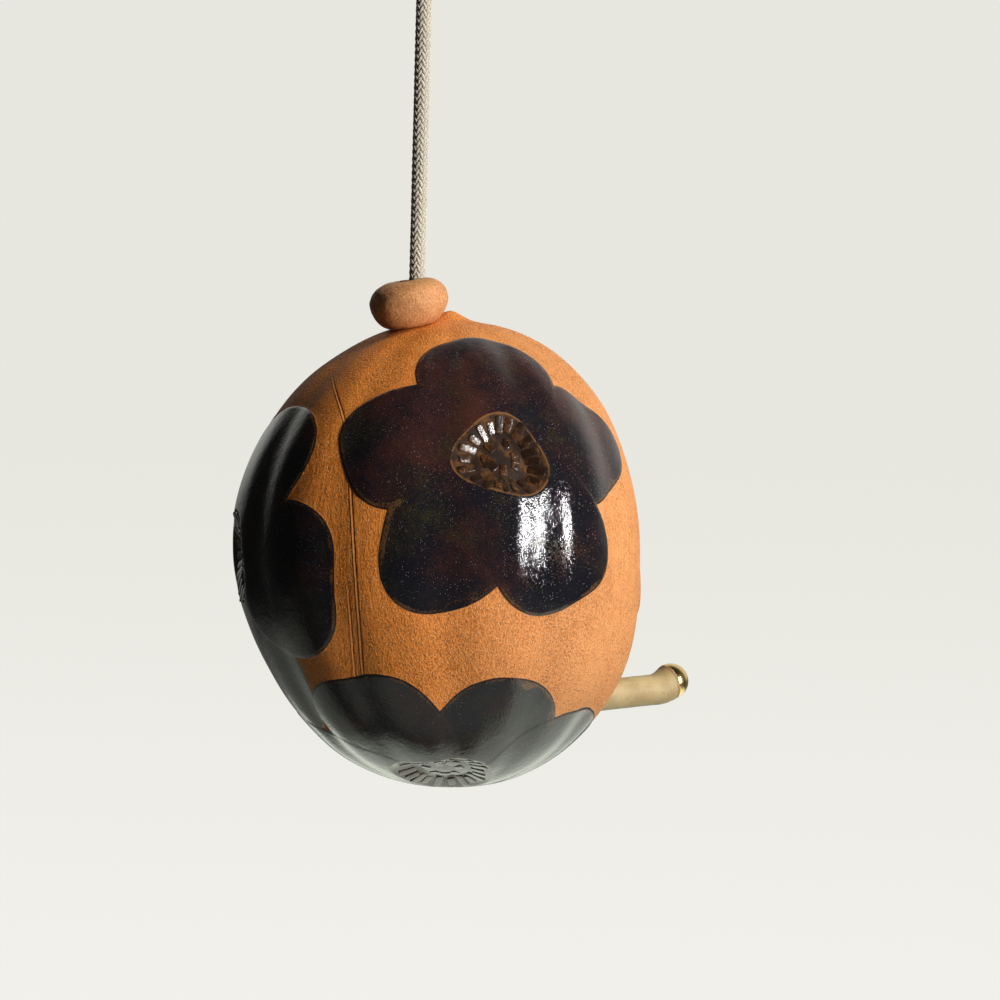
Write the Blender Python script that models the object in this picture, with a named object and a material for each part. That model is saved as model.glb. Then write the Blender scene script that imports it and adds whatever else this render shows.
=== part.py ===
"""Hanging ceramic birdhouse: a lobed clay shell, a clay perch and a clay bead on a braided cord.

The cord hangs plumb on the Z axis, and the origin is where its loop bears on a hook.
The entrance and the perch face -Y. All lengths are in metres.
"""

import math

import bmesh
import bpy
from mathutils import Matrix, Vector

MM = 0.001

# Clearances
SEAT_GAP = 0.3 * MM
WIND_GAP = 0.6 * MM

# Cord
CORD_DIAMETER = 5.0 * MM
LOOP_WIDTH = 27.0 * MM
LOOP_DROP = 36.0 * MM
LOOP_KNOT_TURNS = 3
CORD_RUN = 93.5 * MM
STOPPER_TURNS = 2
KNOT_TAIL = 6.0 * MM

# Bead, which rests on the roof's slope behind the cord's hole
BEAD_DIAMETER = 24.4 * MM
BEAD_HEIGHT = 13.8 * MM
BEAD_FULLNESS = 0.85
BEAD_SETBACK = 13.5 * MM
BEAD_CORD_PLAY = 0.5 * MM

# Clay shell
SHELL_WIDTH = 127.0 * MM
SHELL_HEIGHT = 147.4 * MM
SHELL_FULLNESS = 0.945
PEAK_STAND = 3.2 * MM
PEAK_SPREAD = 5.0 * MM
BACK_BULGE = 6.0 * MM
FRONT_BELLY = 2.4 * MM
WALL = 6.8 * MM
CAVITY_SHIFT = 3.4 * MM
CORD_SETBACK = 12.5 * MM
CORD_HOLE_PLAY = 0.9 * MM
HOUSE_LEAN = math.radians(2.3)

# Lobes pressed into the shell
LOBES = 12
LOBE_DEPTH = 1.7 * MM
FIRST_GROOVE = math.radians(-1.0)
GROOVE_SHARPNESS = 2.0
LOBE_FADE = 0.45

# Entrance and its rolled rim, which is drawn out into a lip at its foot
ENTRANCE_DIAMETER = 34.0 * MM
ENTRANCE_DROP = 4.5 * MM
RIM_THICKNESS = 4.0 * MM
LIP_THICKNESS = 8.0 * MM
LIP_STAND = 3.4 * MM
LIP_SHARPNESS = 3.0

# Perch
PERCH_DIAMETER = 10.0 * MM
PERCH_DROP = 48.0 * MM
PERCH_REACH = 39.5 * MM
PERCH_ROOT = 15.0 * MM
PERCH_RISE = math.radians(2.5)
TIP_TURN = math.radians(32.0)
TIP_BEND = 14.0 * MM
TIP_SWELL = 0.8 * MM

# Facets
SHELL_FACETS = 84
SHELL_RINGS = 34
CAVITY_FACETS = 40
CAVITY_RINGS = 20
ROUND_FACETS = 40
RIM_FACETS = 12
TURN_POINTS = 24

# Sizes that follow from those above
CORD_RADIUS = CORD_DIAMETER / 2
STRAND_PITCH = CORD_DIAMETER + WIND_GAP
SHELL_RADIUS = SHELL_WIDTH / 2
SHELL_RISE = SHELL_HEIGHT / 2
CAVITY_RADIUS = SHELL_RADIUS - WALL
ROOF_RISE = SHELL_RISE - PEAK_STAND
CAVITY_RISE = ROOF_RISE - WALL
ENTRANCE_RADIUS = ENTRANCE_DIAMETER / 2
PERCH_RADIUS = PERCH_DIAMETER / 2


def clear_scene():
    for old in list(bpy.data.objects):
        bpy.data.objects.remove(old, do_unlink=True)


def finish(name, colour, roughness, metallic=0.0):
    material = bpy.data.materials.new(name)
    material.use_nodes = True
    shader = material.node_tree.nodes["Principled BSDF"]
    shader.inputs["Base Color"].default_value = (*colour, 1.0)
    shader.inputs["Roughness"].default_value = roughness
    shader.inputs["Metallic"].default_value = metallic
    return material


def add_object(name, data, parent=None, place=(0.0, 0.0, 0.0)):
    piece = bpy.data.objects.new(name, data)
    bpy.context.scene.collection.objects.link(piece)
    piece.parent = parent
    piece.location = place
    return piece


def add_mesh(name, form, material=None, parent=None, place=(0.0, 0.0, 0.0)):
    mesh = bpy.data.meshes.new(name)
    bmesh.ops.recalc_face_normals(form, faces=form.faces)
    form.to_mesh(mesh)
    form.free()
    mesh.shade_smooth()
    if material:
        mesh.materials.append(material)
    return add_object(name, mesh, parent, place)


def add_tube(name, route, radius, roundness, material, parent=None, taper=None):
    """A round tube with closed ends, where taper gives each point's share of the radius."""
    curve = bpy.data.curves.new(name, "CURVE")
    curve.dimensions = "3D"
    curve.bevel_depth = radius
    curve.bevel_resolution = roundness
    curve.use_fill_caps = True
    spline = curve.splines.new("POLY")
    spline.points.add(len(route) - 1)
    for index, place in enumerate(route):
        spline.points[index].co = (*place, 1.0)
        spline.points[index].radius = taper[index] if taper else 1.0
    curve.materials.append(material)
    return add_object(name, curve, parent)


def rod_form(start, end, radius):
    """A closed cylinder between two points."""
    form = bmesh.new()
    run = end - start
    place = Matrix.Translation((start + end) / 2) @ run.to_track_quat("Z", "Y").to_matrix().to_4x4()
    bmesh.ops.create_cone(
        form,
        cap_ends=True,
        segments=ROUND_FACETS,
        radius1=radius,
        radius2=radius,
        depth=run.length,
        matrix=place,
    )
    return form


def combine(piece, other, operation):
    other.hide_render = True
    other.display_type = "WIRE"
    boolean = piece.modifiers.new(other.name, "BOOLEAN")
    boolean.operation = operation
    boolean.solver = "EXACT"
    boolean.object = other


def smooth_route(points, steps):
    """A smooth curve through a few chosen points, with so many steps between each two."""
    points = [Vector(point) for point in points]
    ends = [2 * points[0] - points[1]] + points + [2 * points[-1] - points[-2]]
    route = []
    for before, start, end, after in zip(ends, ends[1:], ends[2:], ends[3:]):
        for step in range(steps):
            t = step / steps
            bend = (end - before) * t + (2 * before - 5 * start + 4 * end - after) * t**2
            route.append(start + 0.5 * (bend + (3 * start - before - 3 * end + after) * t**3))
    return route + [points[-1]]


def round_strands(turn, spread):
    """Where a turn of cord lies round two strands that are spread either side along X."""
    bend = math.pi * STRAND_PITCH
    way = (turn % 1.0) * (2 * bend + 4 * spread)
    if way < bend:
        angle = way / STRAND_PITCH - math.pi / 2
        return spread + STRAND_PITCH * math.cos(angle), STRAND_PITCH * math.sin(angle)
    if way < bend + 2 * spread:
        return spread + bend - way, STRAND_PITCH
    if way < 2 * bend + 2 * spread:
        angle = (way - 2 * spread) / STRAND_PITCH - math.pi / 2
        return STRAND_PITCH * math.cos(angle) - spread, STRAND_PITCH * math.sin(angle)
    return way - 2 * bend - 3 * spread, -STRAND_PITCH


def knot_route(turns, spread):
    """A strand's end that comes down, turns back up and winds round the strands, base at height 0."""
    bend = STRAND_PITCH / 2
    down = Vector((spread, 0.0, -bend))
    up = Vector((spread - bend, -STRAND_PITCH, -bend))
    reach = (up - down) / 2
    route = [down + Vector((0.0, 0.0, CORD_DIAMETER)), down]
    for step in range(1, 7):
        angle = math.pi * step / 6
        drop = Vector((0.0, 0.0, -reach.length * math.sin(angle)))
        route.append((down + up) / 2 - reach * math.cos(angle) + drop)
    for step in range(1, 3):
        angle = math.pi / 2 * step / 3
        route.append(up + Vector((bend * (1 - math.cos(angle)), 0.0, bend * math.sin(angle))))
    for step in range(turns * TURN_POINTS + 1):
        turn = step / TURN_POINTS
        route.append(Vector((*round_strands(turn, spread), STRAND_PITCH * turn)))
    climb = STRAND_PITCH / (2 * math.pi * STRAND_PITCH + 4 * spread)
    onward = Vector((KNOT_TAIL, 0.0, KNOT_TAIL * climb))
    return route + [route[-1] + onward / 2, route[-1] + onward]


def least_gap(route):
    """The least gap between a tube's turns, leaving out what lies close along it."""
    along = [0.0]
    for start, end in zip(route, route[1:]):
        along.append(along[-1] + (end - start).length)
    gaps = []
    for first, place in enumerate(route):
        for second in range(first + 1, len(route)):
            if along[second] - along[first] > 2 * CORD_DIAMETER:
                gaps.append((route[second] - place).length - CORD_DIAMETER)
    return min(gaps)


def shift(route, offset):
    return [place + Vector(offset) for place in route]


def roof_height(off):
    """The height of the roof above the shell's middle, so far off its axis."""
    swell = (off / SHELL_RADIUS) ** (1 / SHELL_FULLNESS)
    return ROOF_RISE * math.sqrt(1 - swell**2) + PEAK_STAND * math.exp(-((off / PEAK_SPREAD) ** 2))


def roof_slope(off):
    """The angle at which the roof falls away, so far off its axis."""
    step = SEAT_GAP
    return math.atan((roof_height(off - step) - roof_height(off + step)) / (2 * step))


def sway(share):
    """How far back the shell's middle lies, at a height given as a share of the way up or down."""
    return BACK_BULGE * (1 - share**2) - FRONT_BELLY * math.sin(math.pi * min(share, 0.0)) ** 2


def girth(share):
    """The shell's radius between its grooves, at such a height."""
    return SHELL_RADIUS * math.sqrt(1 - share**2) ** SHELL_FULLNESS


def shell_point(turn, fall):
    """A point of the clay's outer face, by the angle round the house and down from its crown."""
    share = math.cos(fall)
    groove = (0.5 + 0.5 * math.cos(LOBES * (turn - FIRST_GROOVE))) ** GROOVE_SHARPNESS
    pressed = 0.78 + 0.22 * math.sin(2 * turn + 0.6) * math.cos(3 * turn)
    swell = math.sin(fall)
    reach = SHELL_RADIUS * swell**SHELL_FULLNESS
    height = roof_height(reach) if share > 0 else SHELL_RISE * share
    reach -= LOBE_DEPTH * groove * pressed * swell**LOBE_FADE
    return reach * math.cos(turn), reach * math.sin(turn) + sway(share), height


def shell_form():
    form = bmesh.new()
    bmesh.ops.create_uvsphere(form, u_segments=SHELL_FACETS, v_segments=SHELL_RINGS, radius=1.0)
    for corner in form.verts:
        turn = math.atan2(corner.co.y, corner.co.x)
        fall = math.acos(max(-1.0, min(1.0, corner.co.z)))
        corner.co = shell_point(turn, fall)
    return form


def cavity_form():
    form = bmesh.new()
    bmesh.ops.create_uvsphere(form, u_segments=CAVITY_FACETS, v_segments=CAVITY_RINGS, radius=1.0)
    for corner in form.verts:
        back = sway(corner.co.z)
        corner.co *= Vector((CAVITY_RADIUS, CAVITY_RADIUS, CAVITY_RISE))
        corner.co.y += back
    return form


def front_face(across, up):
    """How far forward of its middle the shell's front lies, at a place seen from the front."""
    share = up / (ROOF_RISE if up > 0 else SHELL_RISE)
    return math.sqrt(girth(share) ** 2 - across**2) - sway(share)


def rim_form():
    """A roll of clay laid round the entrance on the shell's face, thickest and furthest out below."""
    form = bmesh.new()
    rings = []
    for step in range(ROUND_FACETS):
        angle = 2 * math.pi * step / ROUND_FACETS
        low = ((1 + math.cos(angle)) / 2) ** LIP_SHARPNESS
        thick = (RIM_THICKNESS + (LIP_THICKNESS - RIM_THICKNESS) * low) / 2
        radial = Vector((math.sin(angle), 0.0, -math.cos(angle)))
        middle = radial * (ENTRANCE_RADIUS + thick - SEAT_GAP)
        middle.y = -front_face(middle.x, middle.z - ENTRANCE_DROP) - LIP_STAND * low
        ring = []
        for facet in range(RIM_FACETS):
            around = 2 * math.pi * facet / RIM_FACETS
            corner = middle + radial * thick * math.cos(around)
            ring.append(form.verts.new(corner + Vector((0.0, thick * math.sin(around), 0.0))))
        rings.append(ring)
    for ring, onward in zip(rings, rings[1:] + rings[:1]):
        for facet in range(RIM_FACETS):
            beside = (facet + 1) % RIM_FACETS
            form.faces.new((ring[facet], ring[beside], onward[beside], onward[facet]))
    return form


def bead_form(tilt, back):
    """A ball of clay pressed flat, leaning with the roof it rests on, behind the cord's axis."""
    form = bmesh.new()
    bmesh.ops.create_uvsphere(form, u_segments=ROUND_FACETS, v_segments=ROUND_FACETS // 2, radius=1.0)
    for corner in form.verts:
        off = math.hypot(corner.co.x, corner.co.y)
        swell = off ** (BEAD_FULLNESS - 1) if off > 0 else 0.0
        rise = math.copysign(abs(corner.co.z) ** BEAD_FULLNESS, corner.co.z)
        corner.co = (corner.co.x * swell, corner.co.y * swell, rise)
    size = Matrix.Diagonal((BEAD_DIAMETER / 2, BEAD_DIAMETER / 2, BEAD_HEIGHT / 2, 1.0))
    lean = Matrix.Translation((0.0, back, 0.0)) @ Matrix.Rotation(-tilt, 4, "X")
    bmesh.ops.transform(form, matrix=lean @ size, verts=form.verts)
    return form


def bead_rise(tilt):
    """How far the leaning bead's top lies above its middle."""
    power = 2 / (2 - BEAD_FULLNESS)
    upright = (BEAD_HEIGHT / 2 * math.cos(tilt)) ** power
    return (upright + (BEAD_DIAMETER / 2 * math.sin(tilt)) ** power) ** (1 / power)


def bead_tilt():
    """The slope of the leaning roof where the bead rests."""
    return roof_slope(BEAD_SETBACK) + HOUSE_LEAN


def bead_seat():
    """Where the bead rests on the leaning roof, from the point where the cord meets it."""
    fall = roof_height(BEAD_SETBACK) - roof_height(CORD_SETBACK)
    return Matrix.Rotation(-HOUSE_LEAN, 3, "X") @ Vector((0.0, BEAD_SETBACK - CORD_SETBACK, fall))


def hang_cord(braid):
    """The cord from its loop down to the knot inside the house; returns the heights it sets."""
    spread = STRAND_PITCH / 2
    loop_knot = knot_route(LOOP_KNOT_TURNS, spread)
    knot_height = max(place.z for place in loop_knot) + CORD_RADIUS
    knot_depth = CORD_RADIUS - min(place.z for place in loop_knot)
    knot_top = -LOOP_DROP
    knot_base = knot_top - knot_height
    loop_knot = shift(loop_knot, (spread, 0.0, knot_base))
    tilt = bead_tilt()
    bead_middle = knot_base - knot_depth - CORD_RUN - bead_rise(tilt)
    crown = bead_middle - (BEAD_HEIGHT / 2 + SEAT_GAP) * math.cos(tilt) - bead_seat().z

    half = LOOP_WIDTH / 2
    arch = []
    for degrees in range(210, -31, -30):
        angle = math.radians(degrees)
        arch.append((half * math.cos(angle), 0.0, CORD_RADIUS - half + half * math.sin(angle)))
    joint = knot_top - CORD_DIAMETER
    neck = [joint, knot_top, knot_top + CORD_DIAMETER]
    turn_back = loop_knot[0].z + SEAT_GAP
    return_steps = 4
    inside = [joint + (turn_back - joint) * step / return_steps for step in range(1, return_steps + 1)]
    loop = [(0.0, 0.0, height) for height in neck] + arch
    loop += [(STRAND_PITCH, 0.0, height) for height in neck[::-1] + inside]

    stopper = knot_route(STOPPER_TURNS, 0.0)
    stopper_reach = max(math.hypot(place.x, place.y) for place in stopper) + CORD_RADIUS
    ceiling_off = (CORD_SETBACK + CAVITY_SHIFT + stopper_reach) / CAVITY_RADIUS
    ceiling = CAVITY_RISE * math.sqrt(1 - ceiling_off**2) - roof_height(CORD_SETBACK)
    ceiling = crown + ceiling * math.cos(HOUSE_LEAN) - stopper_reach * math.sin(HOUSE_LEAN)
    stopper_top = max(place.z for place in stopper) + CORD_RADIUS
    stopper_base = ceiling - SEAT_GAP - stopper_top
    stopper = shift(stopper, (0.0, 0.0, stopper_base))

    run_top = joint - SEAT_GAP
    run_foot = stopper[0].z + SEAT_GAP
    run_steps = 18
    run = []
    for step in range(run_steps + 1):
        run.append(Vector((0.0, 0.0, run_top + (run_foot - run_top) * step / run_steps)))

    add_tube("hanging_loop", smooth_route(loop, 2), CORD_RADIUS, 2, braid)
    add_tube("loop_knot", loop_knot, CORD_RADIUS, 1, braid)
    add_tube("hanging_cord", run, CORD_RADIUS, 2, braid)
    add_tube("stopper_knot", stopper, CORD_RADIUS, 1, braid)
    for name, route in (("loop_knot", loop_knot), ("stopper_knot", stopper)):
        print(f"{name}: least gap between turns {least_gap(route) / MM:.2f} mm")
    return bead_middle, crown


def thread_bead(clay, bead_middle):
    tilt = bead_tilt()
    back = bead_seat().y + (BEAD_HEIGHT / 2 + SEAT_GAP) * math.sin(tilt)
    bead = add_mesh("cord_bead", bead_form(tilt, back), clay, place=(0.0, 0.0, bead_middle))
    end = Vector((0.0, 0.0, BEAD_DIAMETER))
    bore = rod_form(-end, end, CORD_RADIUS + BEAD_CORD_PLAY)
    combine(bead, add_mesh("bead_bore", bore, None, None, bead.location), "DIFFERENCE")


def build_house(clay, glaze, crown):
    """The shell and its perch, hung from the point where the cord meets the crown."""
    house = add_object("house", None, place=(0.0, 0.0, crown))
    house.rotation_euler.x = -HOUSE_LEAN
    middle = Vector((0.0, -CORD_SETBACK, -roof_height(CORD_SETBACK)))
    shell = add_mesh("body_shell", shell_form(), clay, house, middle)

    entrance = middle - Vector((0.0, 0.0, ENTRANCE_DROP))
    combine(shell, add_mesh("rim_roll", rim_form(), None, house, entrance), "UNION")

    cavity_place = middle + Vector((0.0, -CAVITY_SHIFT, 0.0))
    combine(shell, add_mesh("nest_hollow", cavity_form(), None, house, cavity_place), "DIFFERENCE")

    outside = Vector((0.0, -SHELL_RADIUS - LIP_STAND - LIP_THICKNESS, 0.0))
    inside = Vector((0.0, -CAVITY_RADIUS / 2, 0.0))
    opening = rod_form(entrance + outside, entrance + inside, ENTRANCE_RADIUS)
    combine(shell, add_mesh("entrance_cut", opening, None, house), "DIFFERENCE")

    plumb = Vector((0.0, -math.sin(HOUSE_LEAN), -math.cos(HOUSE_LEAN)))
    cord_hole = rod_form(-plumb * WALL, plumb * 2.5 * WALL, CORD_RADIUS + CORD_HOLE_PLAY)
    combine(shell, add_mesh("cord_hole", cord_hole, None, house), "DIFFERENCE")

    foot = middle + Vector((0.0, -front_face(0.0, -PERCH_DROP), -PERCH_DROP))
    out = Vector((0.0, -math.cos(PERCH_RISE), math.sin(PERCH_RISE)))
    socket_end = foot - out * (PERCH_ROOT + SEAT_GAP)
    socket = rod_form(socket_end, foot + out * PERCH_REACH / 2, PERCH_RADIUS + SEAT_GAP)
    combine(shell, add_mesh("perch_socket", socket, None, house), "DIFFERENCE")
    set_perch(glaze, house, foot, out)


def set_perch(glaze, house, foot, out):
    """A rolled clay rod with an upturned, slightly swollen round tip."""
    rise = Vector((0.0, math.sin(PERCH_RISE), math.cos(PERCH_RISE)))
    straight = PERCH_REACH - TIP_BEND * math.sin(TIP_TURN) - PERCH_RADIUS
    tip_radius = PERCH_RADIUS + TIP_SWELL
    route = [foot - out * PERCH_ROOT, foot, foot + out * straight / 2]
    radii = [PERCH_RADIUS] * 3
    bend_steps = 5
    for step in range(bend_steps + 1):
        turn = TIP_TURN * step / bend_steps
        ahead = straight + TIP_BEND * math.sin(turn)
        route.append(foot + out * ahead + rise * TIP_BEND * (1 - math.cos(turn)))
        radii.append(PERCH_RADIUS + TIP_SWELL * step / bend_steps)
    heading = out * math.cos(TIP_TURN) + rise * math.sin(TIP_TURN)
    bend_end = route[-1]
    for degrees in (22, 44, 64, 80):
        angle = math.radians(degrees)
        route.append(bend_end + heading * tip_radius * math.sin(angle))
        radii.append(tip_radius * math.cos(angle))
    taper = [radius / PERCH_RADIUS for radius in radii]
    add_tube("perch", route, PERCH_RADIUS, 4, glaze, house, taper)


clear_scene()
terracotta = finish("terracotta", (0.60, 0.24, 0.08), 0.85)
cream_glaze = finish("cream_glaze", (0.68, 0.53, 0.31), 0.35)
taupe_braid = finish("taupe_braid", (0.45, 0.39, 0.31), 0.7)
bead_height, crown_height = hang_cord(taupe_braid)
thread_bead(terracotta, bead_height)
build_house(terracotta, cream_glaze, crown_height)
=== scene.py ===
"""The looks of a hanging ceramic birdhouse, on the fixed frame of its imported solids.

The cord hangs plumb on the Z axis, and the entrance and the perch face -Y. Lengths are in metres.
"""

import math

import bmesh
import bpy
import numpy as np
from mathutils import Matrix, Vector, noise
from mathutils.bvhtree import BVHTree


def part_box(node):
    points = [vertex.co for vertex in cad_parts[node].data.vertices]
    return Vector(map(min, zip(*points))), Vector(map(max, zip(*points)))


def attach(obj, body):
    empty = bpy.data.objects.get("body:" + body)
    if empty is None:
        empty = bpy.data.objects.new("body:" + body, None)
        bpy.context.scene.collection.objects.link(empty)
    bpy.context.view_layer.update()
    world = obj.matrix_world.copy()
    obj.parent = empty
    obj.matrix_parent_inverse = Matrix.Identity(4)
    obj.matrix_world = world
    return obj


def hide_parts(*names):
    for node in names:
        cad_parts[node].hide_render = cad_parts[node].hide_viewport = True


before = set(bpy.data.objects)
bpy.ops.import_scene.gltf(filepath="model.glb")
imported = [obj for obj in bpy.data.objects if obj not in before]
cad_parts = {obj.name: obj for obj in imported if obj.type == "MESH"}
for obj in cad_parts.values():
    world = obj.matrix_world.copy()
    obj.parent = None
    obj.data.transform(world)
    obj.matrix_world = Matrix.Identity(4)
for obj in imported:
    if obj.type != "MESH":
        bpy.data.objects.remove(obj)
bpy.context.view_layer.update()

# Clay shell: the nest pot, a hollow egg of fired red clay with a fine grog, pinched and scraped into
# twelve shallow lobes by hand. The roll of clay round its entrance is drawn out into a lip below.
# Dark blossoms are brushed on in a glossy glaze, and each one's heart is pressed into the soft clay.
MM = 0.001
SEAT_GAP = 0.3 * MM
SHELL_RADIUS = 63.5 * MM
SHELL_RISE = 73.7 * MM
SHELL_FULLNESS = 0.945
PEAK_STAND = 3.2 * MM
PEAK_SPREAD = 5.0 * MM
BACK_BULGE = 6.0 * MM
FRONT_BELLY = 2.4 * MM
WALL = 6.8 * MM
CAVITY_SHIFT = 3.4 * MM
CORD_SETBACK = 12.5 * MM
CORD_HOLE_RADIUS = 3.4 * MM
HOUSE_LEAN = math.radians(2.3)
ENTRANCE_RADIUS = 17.0 * MM
ENTRANCE_DROP = 4.5 * MM
ENTRANCE_INNER = Vector((0.0, -30.0, 0.0)) * MM
ENTRANCE_OUTER = Vector((0.0, -90.0, 0.0)) * MM
RIM_THICKNESS = 4.0 * MM
LIP_THICKNESS = 8.0 * MM
LIP_STAND = 3.4 * MM
LIP_SHARPNESS = 3.0
LIP_NEAR = 15.0 * MM
LIP_FAR = 31.0 * MM
PERCH_RADIUS = 5.0 * MM
PERCH_DROP = 48.0 * MM
PERCH_ROOT = 15.0 * MM
PERCH_RISE = math.radians(2.5)
ROOF_RISE = SHELL_RISE - PEAK_STAND

SKIN_DEPTH = 0.50 * MM
GLAZE_THICKNESS = 0.20 * MM
GLAZE_OVERLAP = 0.04 * MM
HEART_DEPTH = 2.7 * MM
HEART_WALL = 6.0 * MM
CREASE_GAP = 2.9 * MM
CREASE_SIDE = math.radians(57.0)
# Direction to the side away from the lamps, where the clay's painted tone is more saturated
SHADED_SIDE = (0.54, 0.84, 0.0)
HEART_RADIUS = 14.0 * MM
BLOSSOM_SPAN = 66.0 * MM
PETALS = 5
# Each blossom's angle round the house, angle up from its middle, radius in mm, and tilt
BLOSSOMS = (
    (163.0, 26.5, 51.0, 16.0),
    (70.0, -1.0, 53.0, 276.0),
    (140.0, -72.0, 49.0, 57.0),
    (346.0, 14.0, 40.0, 5.0),
)


class Wire:
    """A socket of a node tree: sums with it add Math nodes, and add() puts in any other node."""

    def __init__(self, tree, socket=None):
        self.tree = tree
        self.socket = socket

    def add(self, kind, settings=(), sockets=(), output=0):
        node = self.tree.nodes.new(kind)
        for name, value in dict(settings).items():
            setattr(node, name, value)
        self.fill(node, sockets)
        return Wire(self.tree, node.outputs[output] if node.outputs else None)

    def fill(self, node, sockets):
        for key, value in dict(sockets).items():
            socket = node.inputs[key]
            for part in value if isinstance(value, list) else [value]:
                if isinstance(part, Wire):
                    self.tree.links.new(part.socket, socket)
                elif socket.type == "VECTOR" and isinstance(part, (int, float)):
                    socket.default_value = (part, part, part)
                else:
                    socket.default_value = part

    def beside(self, output):
        return Wire(self.tree, self.socket.node.outputs[output])

    def math(self, operation, *values):
        wires = [value for value in values if isinstance(value, Wire)]
        vector = any(wire.socket.type == "VECTOR" for wire in wires)
        kind = "ShaderNodeVectorMath" if vector else "ShaderNodeMath"
        return self.add(kind, {"operation": operation}, dict(enumerate(values)))

    def __add__(self, other):
        return self.math("ADD", self, other)

    def __radd__(self, other):
        return self.math("ADD", other, self)

    def __sub__(self, other):
        return self.math("SUBTRACT", self, other)

    def __rsub__(self, other):
        return self.math("SUBTRACT", other, self)

    def __mul__(self, other):
        return self.math("MULTIPLY", self, other)

    def __rmul__(self, other):
        return self.math("MULTIPLY", other, self)

    def __truediv__(self, other):
        return self.math("DIVIDE", self, other)

    def __pow__(self, other):
        return self.math("POWER", self, other)

    def __abs__(self):
        return self.math("ABSOLUTE", self)

    def cos(self):
        return self.math("COSINE", self)

    def sin(self):
        return self.math("SINE", self)

    def most(self, other):
        return self.math("MAXIMUM", self, other)

    def dot(self, way):
        return self.math("DOT_PRODUCT", self, tuple(way)).beside("Value")

    def parts(self):
        first = self.add("ShaderNodeSeparateXYZ", {}, {0: self})
        return first, first.beside(1), first.beside(2)

    def step(self, low, high):
        """A smooth rise from 0 at the low value to 1 at the high one."""
        ends = {"From Min": low, "From Max": high, "Value": self}
        return self.add("ShaderNodeMapRange", {"interpolation_type": "SMOOTHSTEP"}, ends)

    def mix(self, first, second):
        """The first colour where this is 0, and the second where it is 1."""
        first = first if isinstance(first, Wire) else (*first, 1.0)
        second = second if isinstance(second, Wire) else (*second, 1.0)
        return self.add("ShaderNodeMix", {"data_type": "RGBA"}, {0: self, 6: first, 7: second}, 2)

    def noise(self, scale, detail=2.0, roughness=0.5):
        sockets = {"Vector": self, "Scale": scale, "Detail": detail, "Roughness": roughness}
        return self.add("ShaderNodeTexNoise", {}, sockets)

    def cells(self, scale):
        return self.add("ShaderNodeTexVoronoi", {}, {"Vector": self, "Scale": scale}, "Distance")

    def stored(self, name):
        """What the piece's own attribute of this name holds."""
        return self.add("ShaderNodeAttribute", {"attribute_name": name}, {}, "Fac")

    def bump(self, height, distance, strength=1.0):
        """A Bump node on top of this normal, or on the plain one where this has no socket."""
        sockets = {"Height": height, "Distance": distance, "Strength": strength}
        if self.socket:
            sockets["Normal"] = self
        return self.add("ShaderNodeBump", {}, sockets)


def new_material(name):
    """A material with its shader, a wire to add nodes with, and a wire of Object coordinates."""
    material = bpy.data.materials.new(name)
    material.use_nodes = True
    root = Wire(material.node_tree)
    spot = root.add("ShaderNodeTexCoord", output="Object")
    return material, material.node_tree.nodes["Principled BSDF"], root, spot


def new_tree(name, sizes):
    """An empty geometry tree, with a wire for each of its named inputs."""
    tree = bpy.data.node_groups.new(name, "GeometryNodeTree")
    tree.interface.new_socket("Geometry", in_out="INPUT", socket_type="NodeSocketGeometry")
    tree.interface.new_socket("Geometry", in_out="OUTPUT", socket_type="NodeSocketGeometry")
    for label, value in sizes.items():
        kind = "NodeSocketInt" if isinstance(value, int) else "NodeSocketFloat"
        tree.interface.new_socket(label, in_out="INPUT", socket_type=kind)
    entry = tree.nodes.new("NodeGroupInput")
    return Wire(tree), {socket.name: Wire(tree, socket) for socket in entry.outputs if socket.name}


def close_tree(root, geometry, material):
    geometry = root.add("GeometryNodeRealizeInstances", {}, {"Geometry": geometry})
    geometry = root.add("GeometryNodeSetMaterial", {}, {"Geometry": geometry, "Material": material})
    root.add("NodeGroupOutput", {}, {0: geometry})


def put_in_scene(name, mesh):
    piece = bpy.data.objects.new(name, mesh)
    bpy.context.scene.collection.objects.link(piece)
    return piece


def settle(piece):
    """Turn what a piece's modifiers make into its plain mesh, of one material all over."""
    graph = bpy.context.evaluated_depsgraph_get()
    mesh = bpy.data.meshes.new_from_object(piece.evaluated_get(graph), depsgraph=graph)
    piece.modifiers.clear()
    piece.data = mesh
    mesh.name = piece.name
    finishes = [finish for finish in mesh.materials if finish]
    mesh.materials.clear()
    mesh.materials.append(finishes[0])
    mesh.polygons.foreach_set("material_index", np.zeros(len(mesh.polygons), np.int32))


def grow(name, start, tree, sizes):
    """A piece that a geometry tree makes of a starting mesh, with its named sizes set."""
    piece = put_in_scene(name, start)
    modifier = piece.modifiers.new(tree.name, "NODES")
    modifier.node_group = tree
    for item in tree.interface.items_tree:
        if item.in_out == "INPUT" and item.name in sizes:
            modifier[item.identifier] = sizes[item.name]
    settle(piece)
    return piece


def carve(piece, cutters):
    """Cut closed forms out of a piece."""
    for cutter in cutters:
        modifier = piece.modifiers.new(cutter.name, "BOOLEAN")
        modifier.solver = "MANIFOLD"
        modifier.object = cutter
    settle(piece)
    for cutter in cutters:
        bpy.data.objects.remove(cutter)


def soften(piece, degrees):
    """Shade a piece smooth, apart from the edges that turn by more than this."""
    piece.data.shade_smooth()
    piece.data.set_sharp_from_angle(angle=math.radians(degrees))


def mesh_from(name, form):
    mesh = bpy.data.meshes.new(name)
    bmesh.ops.recalc_face_normals(form, faces=form.faces)
    form.to_mesh(mesh)
    form.free()
    return mesh


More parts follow.
